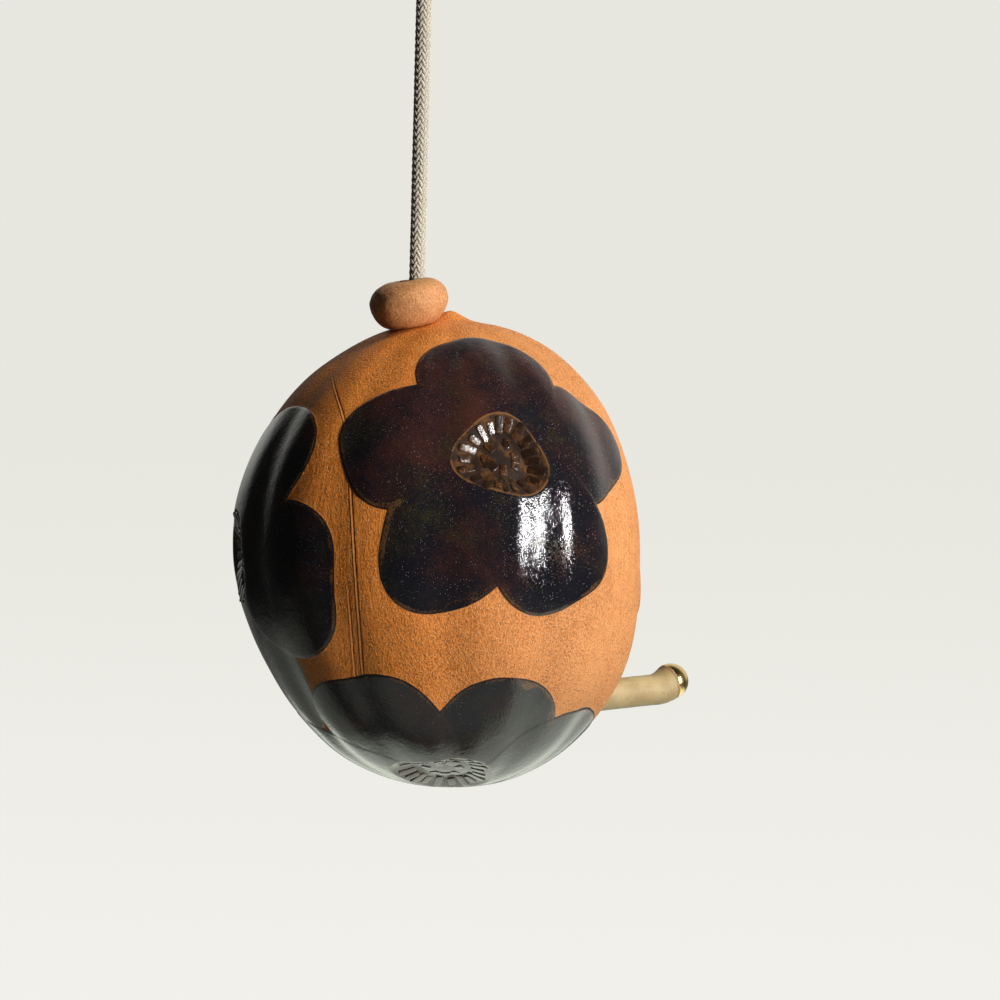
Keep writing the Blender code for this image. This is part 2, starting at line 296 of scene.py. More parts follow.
def rod(name, start, end, radius, sides=96):
    """A closed cylinder between two points, to cut with."""
    run = end - start
    place = Matrix.Translation((start + end) / 2) @ run.to_track_quat("Z", "Y").to_matrix().to_4x4()
    form = bmesh.new()
    ends = {"radius1": radius, "radius2": radius, "depth": run.length}
    bmesh.ops.create_cone(form, cap_ends=True, segments=sides, matrix=place, **ends)
    return put_in_scene(name, mesh_from(name, form))


def corners(mesh, what="co"):
    """A mesh's corners, or their normals, as rows of numbers."""
    values = np.empty(len(mesh.vertices) * 3, np.float32)
    mesh.vertices.foreach_get(what, values)
    return values.reshape(-1, 3).astype(float)


def move_corners(mesh, places):
    mesh.vertices.foreach_set("co", np.asarray(places, np.float32).ravel())
    mesh.update()


def store(mesh, name, values):
    """Keep a number or a direction for each of a mesh's corners."""
    values = np.asarray(values, np.float32)
    kind, field = ("FLOAT_VECTOR", "vector") if values.ndim > 1 else ("FLOAT", "value")
    mesh.attributes.new(name, kind, "POINT").data.foreach_set(field, values.ravel())


def rise(low, high, values):
    """A smooth rise from 0 at the low value to 1 at the high one."""
    share = np.clip((values - low) / (high - low), 0.0, 1.0)
    return share * share * (3 - 2 * share)


def roof_height(off):
    swell = (off / SHELL_RADIUS) ** (1 / SHELL_FULLNESS)
    return ROOF_RISE * math.sqrt(1 - swell**2) + PEAK_STAND * math.exp(-((off / PEAK_SPREAD) ** 2))


def sway(share):
    """How far back the shell's middle lies, at a height given as a share of the way up or down."""
    return BACK_BULGE * (1 - share**2) - FRONT_BELLY * np.sin(math.pi * np.minimum(share, 0.0)) ** 2


def front_face(drop):
    """How far forward the shell's front lies, at a drop below its middle."""
    share = -drop / SHELL_RISE
    return SHELL_RADIUS * math.sqrt(1 - share**2) ** SHELL_FULLNESS - sway(share)


def lobed_shell_tree(sizes, clay):
    """A ball of even squares, drawn out to the shell's egg shape and pressed into lobes."""
    root, put = new_tree("lobed_shell", sizes)
    grid = {"Size": (2.0, 2.0, 2.0)}
    for axis in "XYZ":
        grid[f"Vertices {axis}"] = put["Squares"]
    block = root.add("GeometryNodeMeshCube", {}, grid)
    spot = root.add("GeometryNodeInputPosition") * (math.pi / 4)
    spot = spot.math("TANGENT", spot)
    east, north, share = spot.math("NORMALIZE", spot).parts()
    turn = north.math("ARCTAN2", north, east)
    swell = (east * east + north * north) ** 0.5
    groove = (0.5 + 0.5 * (put["Lobes"] * (turn - put["First Groove"])).cos()) ** put["Sharpness"]
    pressed = 0.78 + 0.22 * (2 * turn + 0.6).sin() * (3 * turn).cos()
    reach = put["Radius"] * swell ** put["Fullness"]
    above = share.math("GREATER_THAN", share, 0.0)
    fall = 0 - (reach / put["Peak Spread"]) ** 2.0
    peak = put["Peak Stand"] * fall.math("EXPONENT", fall)
    height = above * (put["Roof Rise"] * share + peak) + (1 - above) * put["Base Drop"] * share
    reach = reach - put["Lobe Depth"] * groove * pressed * swell ** put["Lobe Fade"]
    below = (math.pi * share.math("MINIMUM", share, 0.0)).sin()
    back = put["Back Bulge"] * (1 - share * share) - put["Front Belly"] * below * below
    place = {0: reach * turn.cos(), 1: reach * turn.sin() + back, 2: height}
    place = root.add("ShaderNodeCombineXYZ", {}, place)
    shell = root.add("GeometryNodeSetPosition", {}, {"Geometry": block, "Position": place})
    close_tree(root, shell, clay)
    return root.tree


def blossom_frame(blossom):
    """A blossom's middle on a unit ball, with the directions to its right and up."""
    turn, up = math.radians(blossom[0]), math.radians(blossom[1])
    middle = np.array((math.cos(up) * math.cos(turn), math.cos(up) * math.sin(turn), math.sin(up)))
    right = np.array((-math.sin(turn), math.cos(turn), 0.0))
    return middle, right, np.cross(middle, right)


def flat_place(spots, blossom):
    """Where spots of the shell lie on a blossom that is rolled out flat, to the right and up."""
    middle, right, upward = blossom_frame(blossom)
    ways = spots / np.linalg.norm(spots, axis=1, keepdims=True)
    angle = np.arccos(np.clip(ways @ middle, -1.0, 1.0))
    stretch = BLOSSOM_SPAN * angle / np.maximum(np.sin(angle), 1e-6)
    return stretch * (ways @ right), stretch * (ways @ upward)


def inside_blob(ahead, aside, length, width, waves):
    """How far inside a wavy oval of a half length and a half width each place lies."""
    share = np.maximum(np.hypot(ahead / length, aside / width), 1e-3)
    angle = np.arctan2(aside / width, ahead / length)
    edge = 1.0
    for count, (depth, phase) in enumerate(waves, start=2):
        edge = edge + depth * np.cos(count * angle + phase)
    return (edge / share - 1) * np.maximum(np.hypot(ahead, aside), width * 0.05)


def heart_waves(number):
    """The depth and the phase of each wave in the outline of a blossom's heart."""
    return (0.05, 0.8 + number), (0.09, 2.2 + number), (0.02, number)


def blossom_fields(spots):
    """How far inside each layer of petals, and inside a heart, every spot of the shell lies."""
    petals = np.full((PETALS, len(spots)), -1.0)
    heart = np.full(len(spots), -1.0)
    for number, blossom in enumerate(BLOSSOMS):
        across, up = flat_place(spots, blossom)
        size = blossom[2] * MM
        for petal in range(PETALS):
            seed = 7.0 * number + 2.4 * petal
            angle = math.radians(blossom[3]) + 2 * math.pi * petal / PETALS + 0.08 * math.sin(3 * seed)
            grown = size * (1.0 + 0.06 * math.sin(2.1 * seed))
            ahead = across * math.cos(angle) + up * math.sin(angle) - 0.56 * grown
            aside = up * math.cos(angle) - across * math.sin(angle)
            waves = ((0.06, seed), (0.05, 1.7 * seed), (0.025, 2.9 * seed))
            layer = (2 * petal) % PETALS
            inside = inside_blob(ahead, aside, 0.46 * grown, 0.43 * grown, waves)
            petals[layer] = np.maximum(petals[layer], inside)
        oval = inside_blob(across, up, HEART_RADIUS * 1.04, HEART_RADIUS * 0.94, heart_waves(number))
        heart = np.maximum(heart, oval)
    return petals, heart


def crease_place(spots):
    """How far across from a scraped crease spots lie, and how much of it and its twin is left."""
    share = spots[:, 2] / SHELL_RISE
    side = spots[:, 0] * math.cos(CREASE_SIDE) + spots[:, 1] * math.sin(CREASE_SIDE)
    near = spots[:, 1] * math.cos(CREASE_SIDE) - spots[:, 0] * math.sin(CREASE_SIDE)
    line = (27.9 + 3.9 * share + 5.0 * rise(0.45, 0.78, share)) * MM
    left = rise(-0.75, -0.60, share) * (1 - rise(0.62, 0.76, share)) * (near > 0)
    twin = 0.4 * left * (1 - rise(-0.22, -0.08, share))
    return 1.13 * (line - side), left, twin


def lip_stand(spots):
    """How far the roll of clay round the entrance stands out from the shell's face."""
    up = spots[:, 2] + ENTRANCE_DROP
    off = np.maximum(np.hypot(spots[:, 0], up), MM)
    low = ((1 - up / off) / 2) ** LIP_SHARPNESS
    thick = (RIM_THICKNESS + (LIP_THICKNESS - RIM_THICKNESS) * low) / 2
    crest = ENTRANCE_RADIUS + thick - SEAT_GAP
    inner = np.sqrt(np.clip(1 - ((crest - off) / thick) ** 2, 0.0, 1.0))
    outer = np.cos(np.clip((off - crest) / (1.7 * thick), 0.0, 1.0) * math.pi / 2) ** 2
    stand = (LIP_STAND * low + thick) * np.where(off < crest, inner, outer)
    return np.where(spots[:, 1] < 0, stand, 0.0), off


def refine(mesh):
    """Halve the squares where an edge or a lip needs finer ones."""
    spots = corners(mesh)
    petals, heart = blossom_fields(spots)
    fine = (np.abs(petals) < 1.0 * MM).any(axis=0)
    fine |= (heart > -1.0 * MM) & (heart < HEART_WALL)
    off = lip_stand(spots)[1]
    fine |= (spots[:, 1] < 0) & (off > LIP_NEAR) & (off < LIP_FAR)
    form = bmesh.new()
    form.from_mesh(mesh)
    form.verts.ensure_lookup_table()
    edges = set()
    for face in form.faces:
        if any(fine[corner.index] for corner in face.verts):
            edges.update(face.edges)
    edges = sorted(edges, key=lambda edge: edge.index)
    bmesh.ops.subdivide_edges(form, edges=edges, cuts=1, use_grid_fill=True)
    form.to_mesh(mesh)
    form.free()


def work_clay(mesh):
    """Lay on the glaze, press in the hearts, roll out the lip and leave hand marks."""
    spots = corners(mesh)
    petals, heart = blossom_fields(spots)
    height = np.zeros(len(spots))
    for layer, inside in enumerate(petals):
        cover = rise(-0.15 * MM, 0.65 * MM, inside)
        height = height * (1 - cover) + (GLAZE_THICKNESS + GLAZE_OVERLAP * layer) * cover
    pressed = np.clip(heart / HEART_WALL, 0.0, 1.0)
    height -= (HEART_DEPTH + height) * pressed + SKIN_DEPTH
    for index, spot in enumerate(spots):
        height[index] += 0.30 * MM * noise.noise(Vector(spot) / (17 * MM))
    spots += corners(mesh, "normal") * height[:, None]
    spots[:, 1] -= lip_stand(spots)[0]
    move_corners(mesh, spots)


def nest_hollow(place):
    """The hollow inside, with the marks of the fingers that pinched it."""
    form = bmesh.new()
    bmesh.ops.create_uvsphere(form, u_segments=96, v_segments=48, radius=1.0)
    radius = SHELL_RADIUS - WALL
    for corner in form.verts:
        back = sway(corner.co.z)
        dent = 1 + 0.012 * noise.noise(corner.co * 4.0)
        corner.co *= Vector((radius, radius, ROOF_RISE - WALL)) * dent
        corner.co.y += back
    bmesh.ops.translate(form, verts=form.verts, vec=place)
    return put_in_scene("nest_hollow", mesh_from("nest_hollow", form))


def clay_grain(spot, lighter, darker):
    """The colour and the height of bare clay: broad firing tones, scraped lines and a fine grog, partly
    painted sparkle.
    """
    streaks = (spot * (1.0, 1.0, 0.07)).noise(900.0, 3.0)
    broad = spot.noise(38.0, 3.0)
    middle = spot.noise(260.0, 3.0)
    fine = (spot * (1.0, 1.0, 0.8)).noise(1700.0, 2.0, 0.7)
    tone = 0.30 * broad + 0.20 * middle + 0.20 * streaks + 1.05 * fine
    colour = tone.step(0.54, 1.06).mix(darker, lighter)
    grog = spot.cells(1500.0)
    pick = grog.beside("Color").parts()[0]
    # Pale specks are grog grains and also painted sparkle of light on the clay
    pale_grog_and_sparkle = (1 - grog.step(0.18, 0.42)) * pick.step(0.75, 0.79)
    dark = (1 - grog.step(0.12, 0.30)) * (1 - pick.step(0.14, 0.18))
    colour = (0.7 * pale_grog_and_sparkle).mix(colour, (0.92, 0.62, 0.34))
    colour = (0.5 * dark).mix(colour, (0.17, 0.06, 0.02))
    height = 0.7 * fine + 0.35 * streaks + 0.2 * middle + 0.4 * pale_grog_and_sparkle
    return colour, height


def glaze_coat(root, spot, under):
    """The petals' layers of glaze over the clay, with the share of clay that they cover."""
    higher = spot.parts()[2].step(-0.235, -0.190)
    rust = spot.noise(45.0, 4.0, 0.6) + 0.16 * higher
    moss = spot.noise(70.0, 4.0, 0.65)
    dust = spot.noise(1900.0, 2.0, 0.7) - 0.5
    wander = spot.noise(130.0, 3.0)
    ochre = spot.noise(42.0, 2.0)
    body = (rust + 0.6 * dust).step(0.44, 0.86).mix((0.008, 0.008, 0.011), (0.058, 0.019, 0.013))
    body = (0.7 * (moss + 0.6 * dust).step(0.50, 0.78)).mix(body, (0.032, 0.028, 0.010))
    # Painted glints: sparse pale specks in the glaze colour stand for sparkles of light
    glint_cells = spot.cells(2500.0)
    painted_glint = (1 - glint_cells.step(0.08, 0.24)) * glint_cells.beside("Color").parts()[2].step(0.78, 0.82)
    body = (painted_glint * wander.step(0.30, 0.65)).mix(body, (0.54, 0.53, 0.54))
    layers = []
    for layer in range(PETALS):
        inside = root.stored(f"petal_{layer}")
        layers.append(1000 * inside + 0.4 * (wander - 0.5))
    whole = layers[0]
    for inside in layers[1:]:
        whole = whole.most(inside)
    edge = 0.35 + 0.9 * wander + 3.6 * ochre.step(0.55, 0.68)
    colour = whole.step(-0.10, 0.12).mix(under, body)
    for layer, inside in enumerate(layers):
        seam = inside.step(-0.1, 0.2) * (1 - inside.step(0.3, 0.9))
        tint = (0.010, 0.008, 0.008) if layer % 2 else (0.034, 0.022, 0.010)
        colour = (0.3 * seam * whole.step(0.5, 1.0)).mix(colour, tint)
    line = whole.step(0.35, 0.6) * (1 - whole.step(edge, edge + 0.7))
    line = line * (wander + 1.2 * dust).step(0.38, 0.66)
    colour = (0.7 * line).mix(colour, (0.15, 0.074, 0.022))
    return colour, whole.step(-0.10, 0.12)


def heart_coat(root, spot, under):
    """The hearts' brown wash with an ochre edge, and the share of clay that it covers."""
    inside = root.stored("heart") * 1000
    patch = spot.noise(210.0, 3.0, 0.6)
    dust = spot.noise(1700.0, 2.0, 0.6) - 0.5
    wash = (patch + 0.45 * dust).step(0.44, 0.76).mix((0.016, 0.007, 0.003), (0.115, 0.046, 0.011))
    edge = ((1 - inside.step(0.1, 0.6)) * (patch + dust).step(0.3, 0.5)).mix(wash, (0.17, 0.070, 0.016))
    here = inside.step(-0.25, 0.0)
    return here.mix(under, edge), here


def scraped_creases(root, spot, under):
    """Two fine scraped lines with a thin burr on their left, and how far they go into the clay."""
    across = root.stored("crease") * 1000
    across = across + 0.5 * (spot.noise(120.0, 3.0) - 0.5)
    colour, groove = under, 0.0
    for name, off in (("crease_left", 0.0), ("crease_twin", CREASE_GAP / MM)):
        left = root.stored(name)
        place = across + off
        cut_and_painted_shade = left * (1 - abs(place).step(0.0, 0.48))
        burr_and_painted_highlight = left * (1 - abs(place + 0.6).step(0.0, 0.5))
        # Painted shade darkens each line's groove, and a painted highlight pales the burr beside it
        colour = (0.45 * cut_and_painted_shade).mix(colour, (0.12, 0.036, 0.010))
        colour = (0.4 * burr_and_painted_highlight).mix(colour, (0.94, 0.50, 0.20))
        groove = 0.9 * cut_and_painted_shade - 0.5 * burr_and_painted_highlight + groove
    return colour, groove


def fired_clay():
    material, shader, root, spot = new_material("fired_clay_and_glaze")
    # Painted light: the clay is more saturated on the side away from the lamps, less on the lit right
    shaded_side_share = spot.dot(SHADED_SIDE).step(-0.055, 0.010)
    lighter = shaded_side_share.mix((0.79, 0.344, 0.114), (0.95, 0.318, 0.053))
    darker = shaded_side_share.mix((0.38, 0.114, 0.018), (0.43, 0.112, 0.011))
    colour, grain = clay_grain(spot, lighter, darker)
    colour, groove = scraped_creases(root, spot, colour)
    colour, glazed = glaze_coat(root, spot, colour)
    colour, heart = heart_coat(root, spot, colour)
    glazed = glazed.most(heart)
    sparkle = spot.noise(2000.0, 1.0, 0.6)
    peel = spot.noise(650.0, 2.0)
    waves = spot.noise(170.0, 4.0)
    matt = 0.52 + 0.16 * grain
    raised = spot.parts()[2].step(-0.302, -0.288)
    gloss = 0.05 + 0.09 * spot.noise(120.0, 2.0) + heart * (0.10 + 0.55 * raised)
    normal = root.bump((grain - groove) * (1 - glazed), 0.75 * MM, 0.9)
    normal = normal.bump((0.7 * sparkle + 0.9 * peel + 2.3 * waves) * glazed, 0.085 * MM, 0.8)
    root.fill(shader, {
        "Base Color": colour,
        "Roughness": matt + glazed * (gloss - matt),
        "Normal": normal,
    })
    return material


shell_sizes = {
    "Squares": 97,
    "Radius": SHELL_RADIUS,
    "Roof Rise": ROOF_RISE,
    "Base Drop": SHELL_RISE,
    "Fullness": SHELL_FULLNESS,
    "Peak Stand": PEAK_STAND,
    "Peak Spread": PEAK_SPREAD,
    "Back Bulge": BACK_BULGE,
    "Front Belly": FRONT_BELLY,
    "Lobes": 12,
    "Lobe Depth": 1.7 * MM,
    "First Groove": math.radians(-1.0),
    "Sharpness": 2.0,
    "Lobe Fade": 0.45,
}
shell_tree = lobed_shell_tree(shell_sizes, fired_clay())
shell = grow("clay_shell", bpy.data.meshes.new("clay_lump"), shell_tree, shell_sizes)

lean = Matrix.Rotation(-HOUSE_LEAN, 4, "X")
shell_middle = Vector((0.0, -CORD_SETBACK, -roof_height(CORD_SETBACK)))
tops = [(lean @ (shell_middle + corner.co)).z for corner in shell.data.vertices]
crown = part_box("body_shell")[1].z - max(tops)
house = Matrix.Translation((0.0, 0.0, crown)) @ lean

refine(shell.data)
work_clay(shell.data)
entrance = Vector((0.0, 0.0, -ENTRANCE_DROP))
plumb = lean.to_3x3().inverted() @ Vector((0.0, 0.0, -1.0))
perch_foot = Vector((0.0, -front_face(PERCH_DROP), -PERCH_DROP))
perch_out = Vector((0.0, -math.cos(PERCH_RISE), math.sin(PERCH_RISE)))
socket_end = perch_foot - perch_out * (PERCH_ROOT + SEAT_GAP)
cord_exit = -shell_middle
carve(shell, [
    nest_hollow(Vector((0.0, -CAVITY_SHIFT, 0.0))),
    rod("entrance_cut", entrance + ENTRANCE_OUTER, entrance + ENTRANCE_INNER, ENTRANCE_RADIUS),
    rod("cord_hole", cord_exit - plumb * WALL, cord_exit + plumb * 2.5 * WALL, CORD_HOLE_RADIUS),
    rod("perch_socket", socket_end, perch_foot + perch_out * 4 * PERCH_RADIUS, PERCH_RADIUS + SEAT_GAP),
])
outward = (corners(shell.data) * corners(shell.data, "normal")).sum(axis=1) > 0.2 * SHELL_RADIUS
petal_depths, heart_depth = blossom_fields(corners(shell.data))
for layer_number, depths in enumerate(petal_depths):
    store(shell.data, f"petal_{layer_number}", np.where(outward, depths, -1.0))
store(shell.data, "heart", np.where(outward, heart_depth, -1.0))
for name, values in zip(("crease", "crease_left", "crease_twin"), crease_place(corners(shell.data))):
    store(shell.data, name, values * outward)
shell.data.transform(house @ Matrix.Translation(shell_middle))
soften(shell, 48)
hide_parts("body_shell")
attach(shell, "house")

# Blossom ribs: short bars of clay left between knife cuts in each heart, one ring on its wall and one
# on its floor. They belong to the shell's clay and carry the same brown wash as the hearts.
RIB_SINK = 0.25 * MM
# Each ring's count of ribs, reach from the heart's middle, rib length and unevenness
RIB_RINGS = ((20, 10.6 * MM, 5.2 * MM, 0.15), (9, 4.8 * MM, 3.2 * MM, 0.5))


def rib_tree(sizes, finish_of_ribs):
    """Small rounded bars on points that give each bar's outward and lengthwise directions."""
    root, put = new_tree("heart_ribs", sizes)
    ball = root.add("GeometryNodeMeshUVSphere", {}, {"Segments": 12, "Rings": 8, "Radius": 1.0})
    spot = root.add("GeometryNodeInputPosition")
    squared = 0.5 * abs(spot) ** put["Squareness"] * spot.math("SIGN", spot)
    ball = root.add("GeometryNodeSetPosition", {}, {"Geometry": ball, "Position": squared})
    kind = {"data_type": "FLOAT_VECTOR"}
    outwards = root.add("GeometryNodeInputNamedAttribute", kind, {"Name": "outwards"})
    lengthwise = root.add("GeometryNodeInputNamedAttribute", kind, {"Name": "lengthwise"})
    span = root.add("GeometryNodeInputNamedAttribute", {"data_type": "FLOAT"}, {"Name": "span"})
    axes = {"primary_axis": "Z", "secondary_axis": "X"}
    turn = root.add("FunctionNodeAxesToRotation", axes, {0: outwards, 1: lengthwise})
    size = root.add("ShaderNodeCombineXYZ", {}, {0: span, 1: put["Width"], 2: put["Height"]})
    points = root.add("GeometryNodeMeshToPoints", {}, {"Mesh": put["Geometry"]})
    spread = {"Points": points, "Instance": ball, "Rotation": turn, "Scale": size}
    bars = root.add("GeometryNodeInstanceOnPoints", {}, spread)
    bars = root.add("GeometryNodeSetShadeSmooth", {}, {"Geometry": bars})
    close_tree(root, bars, finish_of_ribs)
    return root.tree


def rib_places(surface):
    """Points on the hearts' walls and floors, with the directions and the length of each rib."""
    middle = house @ shell_middle
    places, outwards, lengths, spans = [], [], [], []
    for number, blossom in enumerate(BLOSSOMS):
        ahead, right, upward = (lean.to_3x3() @ Vector(way) for way in blossom_frame(blossom))
        for count, reach, span, uneven in RIB_RINGS:
            for step in range(count):
                angle = 2 * math.pi * (step + uneven * math.sin(5.0 * step + number)) / count
                off = reach * (1 + 0.4 * uneven * math.sin(7.0 * step + 3.0 * number))
                wave = 1.0
                for ripple, (depth, phase) in enumerate(heart_waves(number)[:2], start=2):
                    wave += depth * math.cos(ripple * angle + phase)
                radial = right * math.cos(angle) + upward * math.sin(angle)
                aim = ahead + radial * off * wave / BLOSSOM_SPAN
                spot, facing, index, distance = surface.ray_cast(middle + 2 * SHELL_RADIUS * aim, -aim)
                along = radial - facing * radial.dot(facing)
                places.append(spot - facing * RIB_SINK)
                outwards.append(facing)
                lengths.append(along.normalized())
                spans.append(span * (1 + 0.2 * math.sin(3.0 * step + 2 * number)))
    return places, outwards, lengths, spans


def heart_clay():
    """The hearts' brown wash, worn to paler clay in patches."""
    material, shader, root, spot = new_material("heart_wash")
    patch = spot.noise(240.0, 3.0, 0.6)
    dust = spot.noise(1700.0, 2.0, 0.6)
    worn = (patch + 0.4 * (dust - 0.5)).step(0.42, 0.72)
    wash = worn.mix((0.016, 0.007, 0.003), (0.11, 0.044, 0.011))
    normal = root.bump(dust + patch, 0.12 * MM, 0.8)
    root.fill(shader, {
        "Base Color": wash,
        "Roughness": 0.14 + 0.14 * patch,
        "Normal": normal,
        "Specular IOR Level": 1.0,
    })
    return material


rib_start = bpy.data.meshes.new("rib_points")
shell_skin = BVHTree.FromObject(shell, bpy.context.evaluated_depsgraph_get())
rib_spots, rib_outwards, rib_lengths, rib_spans = rib_places(shell_skin)
rib_start.from_pydata(rib_spots, [], [])
store(rib_start, "outwards", rib_outwards)
store(rib_start, "lengthwise", rib_lengths)
store(rib_start, "span", rib_spans)
rib_sizes = {"Width": 2.5 * MM, "Height": 1.0 * MM, "Squareness": 0.28}
ribs = grow("blossom_ribs", rib_start, rib_tree(rib_sizes, heart_clay()), rib_sizes)
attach(ribs, "house")

# Perch: a rod of white clay rolled by hand and turned up at its round tip, stuck into the shell below
# the entrance. It has a satin cream glaze, and its tip is dipped in gold lustre with a thin brown line.
PERCH_REACH = 39.5 * MM
TIP_TURN = math.radians(32.0)
TIP_BEND = 14.0 * MM
TIP_SWELL = 0.8 * MM
PERCH_SIDES = 56
PERCH_STEP = 0.7 * MM
TIP_RINGS = 14
GOLD_LENGTH = 6.2 * MM


def perch_line():
    """Points along the perch's middle from root to tip, with its heading and radius at each."""
    rising = Vector((0.0, math.sin(PERCH_RISE), math.cos(PERCH_RISE)))
    straight = PERCH_REACH - TIP_BEND * math.sin(TIP_TURN) - PERCH_RADIUS
    rows = []
    steps = round((PERCH_ROOT + straight) / PERCH_STEP)
    for step in range(steps):
        way = (PERCH_ROOT + straight) * step / steps
        rows.append((perch_foot + perch_out * (way - PERCH_ROOT), perch_out, PERCH_RADIUS))
    bend_foot = perch_foot + perch_out * straight
    steps = round(TIP_BEND * TIP_TURN / PERCH_STEP)
    for step in range(steps + 1):
        turn = TIP_TURN * step / steps
        place = bend_foot + TIP_BEND * (perch_out * math.sin(turn) + rising * (1 - math.cos(turn)))
        heading = perch_out * math.cos(turn) + rising * math.sin(turn)
        rows.append((place, heading, PERCH_RADIUS + TIP_SWELL * step / steps))
    place, heading, radius = rows[-1]
    for step in range(1, TIP_RINGS):
        angle = math.pi / 2 * step / TIP_RINGS
        rows.append((place + heading * radius * math.sin(angle), heading, radius * math.cos(angle)))
    return rows, place + heading * (radius - 0.03 * MM)


def perch_mesh():
    """The rod's skin, ring by ring, with how far each corner lies from the tip."""
    rows, tip = perch_line()
    form = bmesh.new()
    side = Vector((1.0, 0.0, 0.0))
    rings = []
    for place, heading, radius in rows:
        top = side.cross(heading)
        ring = []
        for facet in range(PERCH_SIDES):
            angle = 2 * math.pi * facet / PERCH_SIDES
            spoke = side * math.cos(angle) + top * math.sin(angle)
            spot = place + spoke * radius
            uneven = 0.10 * noise.noise(spot / (9 * MM)) + 0.05 * noise.noise(spot / (3 * MM)) - 0.12
            ring.append(form.verts.new(spot + spoke * uneven * MM))
        rings.append(ring)
    for ring, onward in zip(rings, rings[1:]):
        for facet in range(PERCH_SIDES):
            beside = (facet + 1) % PERCH_SIDES
            form.faces.new((ring[facet], ring[beside], onward[beside], onward[facet]))
    form.faces.new(rings[0][::-1])
    point = form.verts.new(tip)
    for facet in range(PERCH_SIDES):
        form.faces.new((rings[-1][facet], rings[-1][(facet + 1) % PERCH_SIDES], point))
    mesh = mesh_from("perch_rod", form)
    dipped = (rows[0][1] + rows[-1][1]).normalized()
    store(mesh, "from_tip", (np.array(tip) - corners(mesh)) @ np.array(dipped))
    return mesh


def cream_glaze():
    material, shader, root, spot = new_material("cream_glaze_and_gold")
    from_tip = root.stored("from_tip") * 1000
    broad = spot.noise(150.0, 3.0)
    fine = spot.noise(1800.0, 2.0)
    tone = (0.8 * broad + 0.3 * fine).step(0.38, 0.72)
    colour = tone.mix((0.360, 0.262, 0.112), (0.475, 0.364, 0.176))
    dots = spot.cells(520.0)
    speck = (1 - dots.step(0.10, 0.22)) * dots.beside("Color").parts()[1].step(0.72, 0.76)
    colour = (0.55 * speck).mix(colour, (0.20, 0.11, 0.05))
    edge = from_tip + 1.4 * (broad - 0.5)
    reach = GOLD_LENGTH / MM
    line = edge.step(reach - 0.2, reach + 0.1) * (1 - edge.step(reach + 0.5, reach + 1.0))
    colour = (0.5 * line).mix(colour, (0.20, 0.065, 0.030))
    gold = 1 - edge.step(reach - 0.3, reach)
    colour = gold.mix(colour, (0.83, 0.58, 0.24))
    satin = 0.50 + 0.14 * broad
    normal = root.bump(broad + 0.25 * fine, 0.12 * MM, 0.6)
    root.fill(shader, {
        "Base Color": colour,
        "Metallic": gold,
        "Roughness": satin + gold * (0.23 - satin),
        "Normal": normal,
    })
    return material


perch = put_in_scene("perch_rod", perch_mesh())
perch.data.materials.append(cream_glaze())
perch.data.transform(house @ Matrix.Translation(shell_middle))
soften(perch, 50)
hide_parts("perch")
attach(perch, "house")

# Cord: one length of taupe braid, twelve yarns each way over a core. It runs up from the house through
# the bead, and its end is turned over into a loop for a hook. The house's weight holds it taut.
CORD_DIAMETER = 5.0 * MM
CORD_RADIUS = CORD_DIAMETER / 2
STRAND_PITCH = CORD_DIAMETER + 0.6 * MM
LOOP_WIDTH = 27.0 * MM
LOOP_DROP = 36.0 * MM
LOOP_KNOT_TURNS = 3
STOPPER_TURNS = 2
KNOT_TAIL = 6.0 * MM
TURN_POINTS = 24
RUN_STEPS = 18
braid_sizes = {
    "Step": 0.6 * MM,
    "Yarns": 12,
    "Lay": 26.0 * MM,
    "Ring": 1.68 * MM,
    "Weave": 0.30 * MM,
    "Yarn Radius": 0.52 * MM,
    "Core Radius": 1.5 * MM,
}


def smooth_route(points, steps):
    """A smooth curve through a few chosen points, with so many steps between each two."""
    points = [Vector(point) for point in points]
    ends = [2 * points[0] - points[1]] + points + [2 * points[-1] - points[-2]]
    route = []
    for before, start, end, after in zip(ends, ends[1:], ends[2:], ends[3:]):
        for step in range(steps):
            t = step / steps
            bend = (end - before) * t + (2 * before - 5 * start + 4 * end - after) * t**2
            route.append(start + 0.5 * (bend + (3 * start - before - 3 * end + after) * t**3))
    return route + [points[-1]]


def round_strands(turn, spread):
    """Where a turn of cord lies round two strands that are spread either side along X."""
    bend = math.pi * STRAND_PITCH
    way = (turn % 1.0) * (2 * bend + 4 * spread)
    if way < bend:
        angle = way / STRAND_PITCH - math.pi / 2
        return spread + STRAND_PITCH * math.cos(angle), STRAND_PITCH * math.sin(angle)
    if way < bend + 2 * spread:
        return spread + bend - way, STRAND_PITCH
    if way < 2 * bend + 2 * spread:
        angle = (way - 2 * spread) / STRAND_PITCH - math.pi / 2
        return STRAND_PITCH * math.cos(angle) - spread, STRAND_PITCH * math.sin(angle)
    return way - 2 * bend - 3 * spread, -STRAND_PITCH


def knot_route(turns, spread):
    """A strand's end that comes down, turns back up and winds round the strands, base at height 0."""
    bend = STRAND_PITCH / 2
    down = Vector((spread, 0.0, -bend))
    up = Vector((spread - bend, -STRAND_PITCH, -bend))
    reach = (up - down) / 2
    route = [down + Vector((0.0, 0.0, CORD_DIAMETER)), down]
    for step in range(1, 7):
        angle = math.pi * step / 6
        drop = Vector((0.0, 0.0, -reach.length * math.sin(angle)))
        route.append((down + up) / 2 - reach * math.cos(angle) + drop)
    for step in range(1, 3):
        angle = math.pi / 2 * step / 3
        route.append(up + Vector((bend * (1 - math.cos(angle)), 0.0, bend * math.sin(angle))))
    for step in range(turns * TURN_POINTS + 1):
        turn = step / TURN_POINTS
        route.append(Vector((*round_strands(turn, spread), STRAND_PITCH * turn)))
    climb = STRAND_PITCH / (2 * math.pi * STRAND_PITCH + 4 * spread)
    onward = Vector((KNOT_TAIL, 0.0, KNOT_TAIL * climb))
    return route + [route[-1] + onward / 2, route[-1] + onward]


def shift(route, offset):
    return [place + Vector(offset) for place in route]


